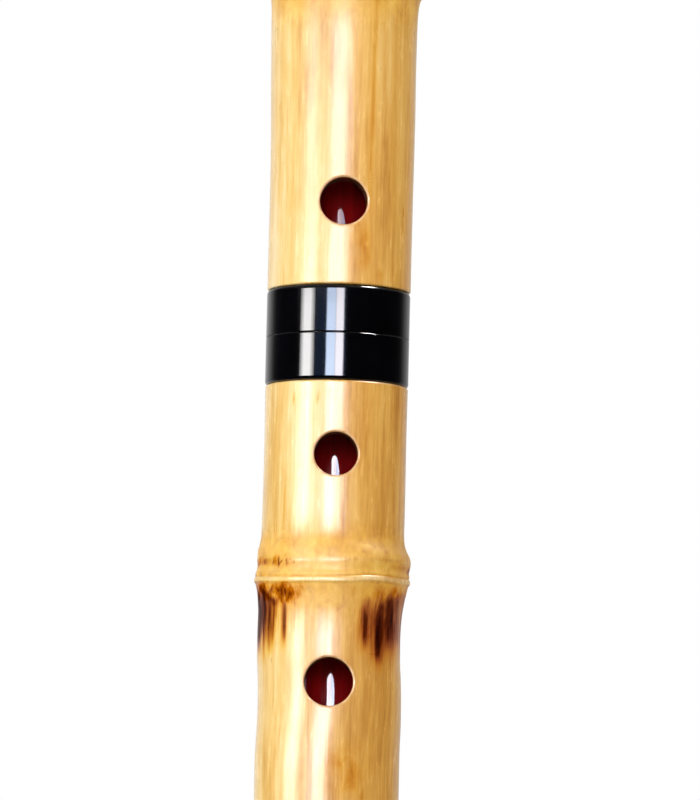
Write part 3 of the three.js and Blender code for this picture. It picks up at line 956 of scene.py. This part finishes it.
def skin_tone_and_sheen(angle, z):
    """Slow changes of tone, and patches lighter (+) or darker (-) than the rest, with painted sheen
    along the upper section's sides.
    """
    tone = 0.05 * broad_waves(angle, z * 0.5) + 0.03 * mid_waves(angle, z * 0.7)
    # painted sheen: the upper section paler along both sides, where it turns away from the front
    tone += 0.07 * smooth((z - 255) / 15) * smooth((np.abs(np.sin(angle)) - 0.5) / 0.35)
    # a dark stripe up its left
    tone -= 0.08 * smooth((z - 268) / 15) * np.exp(-(((angle + 0.45) / 0.17) ** 2))
    # left, between the main node and the joint
    tone += (0.13 * smooth((z - 203) / 12) * smooth((251 - z) / 6)
             * np.exp(-(((angle + 0.43) / 0.33) ** 2)))
    # right, between the two lower holes
    tone += (0.05 * smooth((z - 141) / 4) * smooth((165 - z) / 8)
             * np.exp(-(((angle - 0.40) / 0.13) ** 2)))
    return tone


def paint(obj, points):
    """Stores the skin's masks on the mesh."""
    angle, z = np.arctan2(points[:, 0], -points[:, 1]), points[:, 2]
    burn_and_groove_shade, blot, band, lip = (np.zeros(len(points)) for _ in range(4))
    for marks, mask in ((MARKS, burn_and_groove_shade), (BLOTS, blot)):
        for mark in marks:
            add_mark(mask, angle, z, *mark)
    burn_and_groove_shade *= 0.92 + 0.12 * waves(41, 20, 60, 14, 7.0)(angle, z)
    ragged = lip_waves(angle, z)
    for node in NODES:
        d = z - node - node_shift(angle, np.full(angle.shape, node))
        # painted shade in the groove above each scar's pale lip
        groove = np.exp(-(((d - 0.76) / 0.2) ** 2))
        burn_and_groove_shade = np.maximum(burn_and_groove_shade, groove * (0.12 + 0.12 * ragged))
        # the lip mask carries paler skin and a painted highlight; on the main node it fades to the
        # right, painted shade on the side away from the lights
        fade = 1 - 0.4 * smooth((angle - 0.5) / 0.4) if node == MAIN_NODE else 1.0
        lip = np.maximum(lip, np.exp(-((d / 0.43) ** 4)) * (0.8 + 0.25 * ragged) * fade)
        # golden zone, broken at the lip and along a line above it
        gaps = 1 - 0.8 * np.exp(-(((d - 4.3) / 0.5) ** 2)) - 0.9 * np.exp(-((d / 0.5) ** 4))
        band = np.maximum(band, smooth((d + 12.5) / 8.5) * smooth((12.5 - d) / 4.0) * gaps)
    # the lip hides what lies under it
    blot, burn_and_groove_shade = blot * (1 - 0.85 * lip), burn_and_groove_shade * (1 - 0.7 * lip)
    # the root end is darker and more worn between its stubs
    band = np.maximum(band, smooth((62 - z) / 14) * 0.8)
    band *= np.clip(0.85 + 0.3 * mid_waves(angle, z), 0, 1)
    stub = stub_field(angle, z, np.hypot(points[:, 0], points[:, 1]))[1]
    masks = [(name, np.clip(mask, 0, 1)) for name, mask in
             (("burn_and_groove_shade", burn_and_groove_shade), ("blot", blot), ("band", band), ("lip", lip))]
    for name, values in (*masks, ("tone", skin_tone_and_sheen(angle, z)), ("nub", stub)):
        layer = obj.data.attributes.new(name, "FLOAT", "POINT")
        layer.data.foreach_set("value", values.astype(np.float32))


# ------------------------------------------------------------------ the two canes and linings
CANE_CUTS = {"half": 42, "rim": 0.5, "mats": (SKIN, RIM, WALL, RAW)}


def lower_cane():
    build = Build(CANE_SIDES)
    shoulder = RING["lower"][0] - 0.05
    seat = TENON[0] - 0.1
    holes = HOLES["lower"]
    outer = sheet(build, rows(0.45, shoulder - 0.5, holes, cane_size), LOWER_AT, shifted=True)
    inner = sheet(build, rows(0.35, TENON[0] - 0.2, holes, even(9.0)), constant(RAW_LOW))
    edge_r = LOWER_AT(build.angle, shoulder)
    top = [(edge_r - CORNER_R * (1 - math.cos(a)), shoulder - CORNER_R * (1 - math.sin(a)), SKIN)
           for a in CORNER]
    top += [
        (SPIGOT_R + 0.25, shoulder, GRAIN), (SPIGOT_R, shoulder + 0.25, GRAIN),
        (SPIGOT_R, LOWER_TOP - 0.2, GRAIN), (SPIGOT_R - 0.2, LOWER_TOP, GRAIN),
        (SLIDE_R + 0.9, LOWER_TOP, GRAIN), (SLIDE_R + 0.18, LOWER_TOP, GRAIN),
        (SLIDE_R, LOWER_TOP - 0.18, RAW), (SLIDE_R, seat + 0.15, RAW),
        (SLIDE_R - 0.1, seat, RAW), (RAW_LOW + 0.1, seat, RAW),
    ]
    foot_r = LOWER_AT(build.angle, np.full(CANE_SIDES, 0.45))
    bottom = [(RAW_LOW + 0.3, 0.02, RAW)]
    for f in (0.2, 0.45, 0.7, 0.93):
        bottom.append((RAW_LOW + 0.3 + (foot_r - 0.55 - RAW_LOW - 0.3) * f, 0.0, GRAIN))
    bottom += [(foot_r - 0.5, 0.02, GRAIN), (foot_r - 0.16, 0.15, GRAIN)]
    tube(build, outer, inner, top, bottom, holes, **CANE_CUTS)
    obj, points = build.mesh("lower_cane", CANE_MATS)
    paint(obj, points)
    ready(obj, "lower_section", "lower_bamboo_tube")


def upper_cane():
    """The upper cane, before the pocket for the inlay is cut."""
    build = Build(CANE_SIDES)
    angle = build.angle
    shoulder = RING["upper"][1] + 0.05
    seat = SLEEVE[1] + 0.05
    holes = HOLES["upper"]
    bare = constant(RAW_UP)
    edge = top_edge(angle, UPPER_AT)
    outer = sheet(build, rows(shoulder + 0.5, LENGTH - 0.35, holes, cane_size), UPPER_AT, edge,
                  shifted=True)
    inner = sheet(build, rows(seat + 0.2, LENGTH - 0.35, holes, even(9.0)), bare,
                  top_edge(angle, bare))
    edge_r = UPPER_AT(angle, edge)
    top = [on_top(angle, edge_r - 0.10, SKIN, drop=0.12), on_top(angle, edge_r - 0.42, GRAIN)]
    for f in (0.12, 0.24, 0.36, 0.48, 0.6, 0.72, 0.84, 0.95):
        top.append(on_top(angle, (edge_r - 0.42) + (RAW_UP - edge_r + 0.42) * f, GRAIN))
    bottom = [
        (RAW_UP + 0.15, seat, RAW), (SEAT_R - 0.1, seat, RAW), (SEAT_R, seat - 0.15, RAW),
        (SEAT_R, UPPER_BOTTOM + 0.18, RAW), (SEAT_R + 0.18, UPPER_BOTTOM, GRAIN),
        (SPIGOT_R - 0.2, UPPER_BOTTOM, GRAIN), (SPIGOT_R, UPPER_BOTTOM + 0.2, GRAIN),
        (SPIGOT_R, shoulder - 0.25, GRAIN), (SPIGOT_R + 0.25, shoulder, GRAIN),
    ]
    foot_r = UPPER_AT(angle, shoulder)
    bottom += [(foot_r - CORNER_R * (1 - math.sin(a)), shoulder + CORNER_R * (1 - math.cos(a)), SKIN)
               for a in CORNER]
    tube(build, outer, inner, top, bottom, holes, **CANE_CUTS)
    return build.mesh("upper_cane", CANE_MATS)[0]


def lining(side):
    """The lacquered bore of one section; the upper one's top follows the mouthpiece."""
    red, cut = 0, 1  # material slots
    build = Build(180)
    angle = build.angle
    low, high = LINING[side]
    radius, bore, holes = LINING_R[side], BORE[side], HOLES[side]
    bore_top = float(bore(high))
    outside = constant(radius)

    def inside(angle, z):
        return bore(z) + 0.012 * mid_waves(angle, z)

    if side == "upper":
        edges = top_edge(angle, outside), top_edge(angle, inside)
        top = [on_top(angle, radius + (bore_top - radius) * f, red)
               for f in (0.12, 0.3, 0.5, 0.7, 0.88)]
    else:
        edges = None, None
        top = [(radius - 0.15, high, red), (bore_top + 0.2, high, red)]
    levels = rows(low + 0.15, high - 0.15, holes, even(4.0))
    outer = sheet(build, levels, outside, edges[0])
    inner = sheet(build, levels, inside, edges[1])
    bottom = [(float(bore(low)) + 0.15, low, red), (radius - 0.15, low, red)]
    tube(build, outer, inner, top, bottom, holes, half=60, rim=0.06, mats=(red, cut, cut, red))
    obj, _ = build.mesh(f"{side}_lining", [RED_M, CANE_MATS[WALL]], sharp=50)
    return ready(obj, f"{side}_section", f"{side}_bore_lining")


# ------------------------------------------------------------------ blowing-edge inlay
POCKET_R, INLAY_R = 8.6, 8.48
INLAY_BASE, INLAY_OUTER_R = 526.0, 17.0


def plug(r, name):
    """A round bar across the front of the mouthpiece."""
    sides = 144
    angle = TAU * np.arange(sides) / sides
    centre_z = LENGTH + 1.0
    build = Build(sides)

    def circle(y, scale=1.0):
        return build.add(np.stack([scale * r * np.cos(angle), np.full(sides, y),
                                   centre_z + scale * r * np.sin(angle)], 1))

    stations = (-30.0, -22.0, -16.0, -13.0, -10.0, -7.0, -4.0)
    rings = [circle(y) for y in stations]
    for before, after in zip(rings, rings[1:]):
        build.strip(after, before)
    for last, y, flip in ((rings[0], stations[0], False), (rings[-1], stations[-1], True)):
        for scale in (0.6, 0.2, 0.01):
            following = circle(y, scale)
            build.strip(*((following, last) if flip else (last, following)))
            last = following
        hub = build.add([[0, y, centre_z]])[0]
        for i in range(0, sides, 2):
            quad = [last[i], last[(i + 1) % sides], last[(i + 2) % sides], hub]
            build.quads(np.array([quad[::-1] if flip else quad]))
    return build.mesh(name, [])[0]


def boolean(obj, cutter, how):
    """Applies a boolean to obj's mesh, keeping its materials and masks."""
    modifier = obj.modifiers.new("cut", "BOOLEAN")
    modifier.operation, modifier.object = how, cutter
    modifier.solver = "EXACT"
    graph = bpy.context.evaluated_depsgraph_get()
    mesh = bpy.data.meshes.new_from_object(
        obj.evaluated_get(graph), preserve_all_data_layers=True, depsgraph=graph)
    obj.modifiers.remove(modifier)
    old, obj.data = obj.data, mesh
    bpy.data.meshes.remove(old)
    mesh.set_sharp_from_angle(angle=48 * RAD)


def upper_section():
    cane = upper_cane()
    bore_lining = lining("upper")
    pocket = plug(POCKET_R, "pocket")
    boolean(cane, pocket, "DIFFERENCE")
    boolean(bore_lining, pocket, "DIFFERENCE")
    bpy.data.objects.remove(pocket)
    points = np.zeros(len(cane.data.vertices) * 3, np.float32)
    cane.data.vertices.foreach_get("co", points)
    paint(cane, points.reshape(-1, 3).astype(float) / MM)
    ready(cane, "upper_section", "upper_bamboo_tube")


def blowing_edge():
    """The mouthpiece's full wall, of which only the part inside a round bar is kept."""
    build = Build(240)
    angle = build.angle
    bore = BORE["upper"]
    outer_edge = top_edge(angle, constant(INLAY_OUTER_R))
    inner_edge = top_edge(angle, lambda _, z: bore(z))
    first = prev = build.ring(INLAY_OUTER_R, INLAY_BASE)
    for f in (0.35, 0.7, 1.0):
        ring = build.ring(INLAY_OUTER_R, INLAY_BASE + (outer_edge - INLAY_BASE) * f)
        prev = build.strip(prev, ring)
    bore_r = bore(inner_edge)
    for f in np.linspace(0, 1, 22)[1:]:
        r = INLAY_OUTER_R + (bore_r - INLAY_OUTER_R) * f
        prev = build.strip(prev, build.ring(r, top_z(-r * np.cos(angle))))
    for f in (0.8, 0.5, 0.2, 0.0):
        z = INLAY_BASE + (inner_edge - INLAY_BASE) * f
        prev = build.strip(prev, build.ring(bore(z), z))
    build.strip(prev, first)
    inlay, _ = build.mesh("blowing_edge", [HORN_M])
    bar = plug(INLAY_R, "bar")
    boolean(inlay, bar, "INTERSECT")
    bpy.data.objects.remove(bar)
    ready(inlay, "upper_section", "blowing_edge_inlay")


# ------------------------------------------------------------------ turned pieces
def lathe(name, loop, mats, body, node, sides=288, second_from=None):
    """A closed (r, z) loop turned about the flute's axis: up the outside, down the inside.
    From loop entry second_from on, faces take the second material."""
    build = Build(sides)
    rings = [build.ring(r, z) for r, z in loop]
    for i, ring in enumerate(rings):
        second = second_from is not None and i >= second_from
        build.strip(ring, rings[(i + 1) % len(rings)], int(second))
    ready(build.mesh(name, mats)[0], body, node)


def rounded(low, high, r_in, r_out, low_edge, high_edge):
    """A ring's loop with rounded outside edges."""
    arc = [a * RAD for a in np.linspace(0, 90, 11)]
    loop = [(r_in + 0.12, low), (r_out - low_edge - 0.25, low)]
    loop += [(r_out - low_edge + low_edge * math.sin(a), low + low_edge - low_edge * math.cos(a))
             for a in arc]
    loop.append((r_out, low + low_edge + 0.07))
    loop += [(r_out, low + (high - low) * f) for f in (0.25, 0.5, 0.75)]
    loop.append((r_out, high - high_edge - 0.07))
    loop += [(r_out - high_edge + high_edge * math.cos(a),
              high - high_edge + high_edge * math.sin(a)) for a in arc]
    loop += [(r_out - high_edge - 0.25, high), (r_in + 0.12, high), (r_in, high - 0.12)]
    loop += [(r_in, low + (high - low) * f) for f in (0.66, 0.33)]
    return loop + [(r_in, low + 0.12)]


def binding(side):
    """A single layer of thread round the spigot: each turn a rounded ridge on a helix."""
    sides, pitch, ridge = 240, 0.5, 0.16
    low, high = BINDING[side]
    r_in, r_out = BIND_R
    turned = ring_angles(sides) / TAU

    def thread_r(z):
        turn = (z - low) / pitch - turned
        return r_out - ridge * (1 - np.abs(np.sin(math.pi * turn)) ** 0.7)

    loop = [(r_in + 0.05, low), (r_out - 0.18, low)]
    loop += [(thread_r(z), z) for z in np.arange(low + 0.08, high - 0.06, pitch / 6)]
    loop += [(r_out - 0.18, high), (r_in + 0.05, high), (r_in, high - 0.1), (r_in, low + 0.1)]
    lathe(f"{side}_binding", loop, [THREAD_M], f"{side}_section", f"{side}_joint_binding",
          sides)


def tenon():
    low, high = TENON
    r, bore = TENON_R, JOINT_BORE_R
    loop = [(bore + 0.15, low), (r - 0.7, low), (r - 0.2, low + 0.15), (r, low + 0.6)]
    loop += [(r, z) for z in np.linspace(low + 2, high - 4.2, 12)]
    for z in (high - 3.6, high - 2.6):  # two fine turned lines near the free end
        loop += [(r, z - 0.18), (r - 0.11, z - 0.09), (r - 0.14, z), (r - 0.11, z + 0.09),
                 (r, z + 0.18)]
    loop += [(r, high - 1.5), (r - 0.05, high - 1.1), (r - 0.25, high - 0.45),
             (r - 0.6, high - 0.08), (r - 0.9, high),
             (bore + 0.35, high), (bore + 0.08, high - 0.1), (bore, high - 0.4)]
    bore_from = len(loop) - 2
    loop += [(bore, z) for z in np.linspace(high - 3, low + 3, 10)] + [(bore, low + 0.3)]
    lathe("tenon", loop, [TENON_M, RED_M], "tenon", "joint_tenon",
          second_from=bore_from)


def socket_sleeve():
    low, high = SLEEVE
    r, bore = SLEEVE_R, SLIDE_R
    loop = [(bore + 0.25, low), (r - 0.2, low), (r, low + 0.2)]
    loop += [(r, z) for z in np.linspace(low + 2, high - 2, 6)]
    loop += [(r, high - 0.2), (r - 0.2, high), (bore + 0.2, high), (bore, high - 0.2)]
    loop += [(bore, z) for z in np.linspace(high - 2, low + 2, 6)] + [(bore, low + 0.3)]
    lathe("socket_sleeve", loop, [TENON_M], "upper_section", "joint_socket_sleeve")


lower_cane()
lining("lower")
upper_section()
blowing_edge()
# the rings' edges are sharp where they meet, round where they meet the cane
for side, edges in (("lower", (0.9, 0.2)), ("upper", (0.2, 0.95))):
    lathe(f"{side}_ring", rounded(*RING[side], RING_BORE, RING_R, *edges), [BLACK_M],
          f"{side}_section", f"{side}_joint_ring")
for side in SIDES:
    binding(side)
tenon()
socket_sleeve()


# ------------------------------------------------------------------ stage (metres from here)
def studio_floor():
    """Evenly pale to the camera; what it throws back onto the flute stays plain."""
    mat = Material("studio_floor")
    far = mat.node("ShaderNodeVectorMath", operation="LENGTH")
    mat.put(far.inputs[0], mat.coord)
    seen = mat.node("ShaderNodeLightPath").outputs["Is Camera Ray"]
    pale = mat.ramp(mat.noise(3.0, detail=2, rough=0.5),
                    [(0.3, (0.60, 0.60, 0.595)), (0.7, (0.64, 0.64, 0.635))])
    glow = mat.remap(far.outputs["Value"], span=(0.3, 3.5), to=(0.57, 0.63))
    return mat.set(Base_Color=mat.mix(seen, pale, mat.tint(pale, (0.2, 0.2, 0.2))), Roughness=0.75,
                   Emission_Color=(1.0, 1.0, 1.0), Emission_Strength=mat.mul(glow, seen))


def make_floor():
    half, z = 14.0, -0.0002
    floor_material = studio_floor()
    mesh = bpy.data.meshes.new("floor")
    corners = [(-half, -half, z), (half, -half, z), (half, half, z), (-half, half, z)]
    mesh.from_pydata(corners, [], [(0, 1, 2, 3)])
    mesh.materials.append(floor_material)
    floor = link("floor", mesh)
    floor.visible_glossy = False


# ------------------------------------------------------------------ lights
LAMP_AIM = Vector((0, 0, 0.24))


def area_light(name, at, aim, width, height, level, colour):
    """A rectangular light; its power is level times its area, so size doesn't change brightness."""
    light = bpy.data.lights.new(name, "AREA")
    light.shape, light.size, light.size_y = "RECTANGLE", width, height
    light.energy = level * math.pi * width * height
    light.color = colour
    obj = link(name, light)
    obj.location = at
    obj.rotation_euler = aim.to_track_quat("-Z", "Y").to_euler()
    return obj


def panel(name, azimuth, distance, width, low, high, level, colour):
    """An upright soft panel facing the flute's axis."""
    a = azimuth * RAD
    at = Vector((distance * math.sin(a), -distance * math.cos(a), (low + high) / 2))
    aim = Vector((-at.x, -at.y, 0))
    return area_light(name, at, aim, width, high - low, level, colour)


def lamp(name, at, size, level, colour):
    return area_light(name, at, LAMP_AIM - Vector(at), size, size, level, colour)


def strip_light(name, azimuth, distance, width, steps, colour, edge):
    """A softbox as nested panels, so its sides fade out. steps: (low, high, level)."""
    for i, k in enumerate((1 - edge, 1.0, 1 + edge)):
        for j, (low, high, level) in enumerate(steps):
            obj = panel(f"{name}_{i}_{j}", azimuth, distance + 0.01 * i, width * k, low, high,
                        level / 3, colour)
            obj.visible_diffuse = i != 1


def make_lights():
    strip_light("strip_left", azimuth=-50.2, distance=1.5, width=0.50,
                steps=((0.19, 0.470, 17.2),), colour=(1.0, 0.985, 0.985), edge=0.32)
    strip_light("strip_left_top", azimuth=-44.0, distance=1.5, width=1.10,
                steps=((0.470, 0.68, 0.6),), colour=(1.0, 0.95, 0.86), edge=0.3)
    strip_light("strip_front_blue", azimuth=-11.2, distance=2.2, width=0.55,
                steps=((0.20, 0.54, 18.2), (0.54, 0.61, 10.4), (0.61, 0.74, 4.2)),
                colour=(0.70, 0.83, 1.07), edge=0.08)
    strip_light("strip_front_white", azimuth=2.7, distance=2.2, width=0.49,
                steps=((0.20, 0.54, 18.5), (0.54, 0.61, 12.5), (0.61, 0.74, 7.5)),
                colour=(1.0, 0.96, 1.04), edge=0.12)
    panel("navy_drape", azimuth=-12.0, distance=2.5, width=2.3, low=0.15, high=0.9, level=0.40,
          colour=(0.24, 0.46, 1.0))
    glint = lamp("glint", at=(0.95, 0.0, 2.0), size=0.55, level=50.0, colour=(1.0, 0.98, 0.95))
    glint.visible_diffuse = False
    spark = lamp("ring_glint", at=(0.93, -0.02, 2.02), size=0.5, level=170.0,
                 colour=(1.0, 0.98, 0.97))
    spark.visible_diffuse = False
    only_rings = bpy.data.collections.new("only_rings")
    for side in SIDES:
        only_rings.objects.link(bpy.data.objects[f"{side}_ring"])
    spark.light_linking.receiver_collection = only_rings
    fill = lamp("fill_right", at=(1.06, -0.49, 0.85), size=0.6, level=7.4, colour=(1.0, 0.97, 0.93))
    fill.visible_glossy = False
    key = lamp("key_left", at=(-1.6, -0.95, 1.2), size=1.0, level=9.8, colour=(1.0, 0.98, 0.965))
    key.visible_glossy = False


def make_world():
    """White to the camera; to the flute, a room dark behind the camera and white behind it."""
    world = bpy.data.worlds.new("studio")
    bpy.context.scene.world = world
    world.use_nodes = True
    sky = Nodes(world.node_tree)
    axis = sky.split(sky.node("ShaderNodeTexCoord").outputs["Generated"])
    greys = [(pos, (grey,) * 3) for pos, grey in (
        (0.62, 0.016), (0.74, 0.05), (0.79, 0.16), (0.88, 0.6), (0.93, 0.75), (1.0, 0.85))]
    walls = sky.ramp(sky.remap(axis["Y"], span=(-1, 1)), [(0.0, (0.012, 0.012, 0.014)), *greys])
    ceiling = sky.remap(axis["Z"], span=(0.30, 0.80), to=(0.0, 0.30))
    right_dim = sky.remap(axis["X"], span=(-0.2, 0.3), to=(1.0, 0.65))
    room, seen = (sky.node("ShaderNodeBackground") for _ in range(2))
    sky.put(room.inputs[0], sky.mix(1.0, sky.tint(walls, right_dim), ceiling, "ADD"))
    sky.put(seen.inputs[0], (1, 1, 1))
    switch = sky.node("ShaderNodeMixShader")
    camera_ray = sky.node("ShaderNodeLightPath").outputs["Is Camera Ray"]
    for i, value in enumerate((camera_ray, room.outputs[0], seen.outputs[0])):
        sky.put(switch.inputs[i], value)
    sky.put(sky.node("ShaderNodeOutputWorld").inputs[0], switch.outputs[0])


def make_camera():
    data = bpy.data.cameras.new("camera")
    data.lens, data.sensor_width, data.sensor_fit = 292.5, 36.0, "AUTO"
    data.clip_start, data.clip_end = 0.05, 60.0
    camera = link("camera", data)
    right = (0.99970990, -0.00479709, 0.02360296)
    up = (-0.02399234, -0.11222667, 0.99339294)
    back = (-0.00211651, -0.99367105, -0.11230921)
    place = (0.0, -1.45890, 0.07294)
    camera.matrix_world = Matrix((*zip(right, up, back, place), (0, 0, 0, 1)))
    scene = bpy.context.scene
    scene.camera = camera
    scene.view_settings.view_transform = "Standard"
    scene.view_settings.look = "None"
    scene.view_settings.exposure = 0.0
    scene.view_settings.gamma = 1.0


make_floor()
make_lights()
make_world()
make_camera()
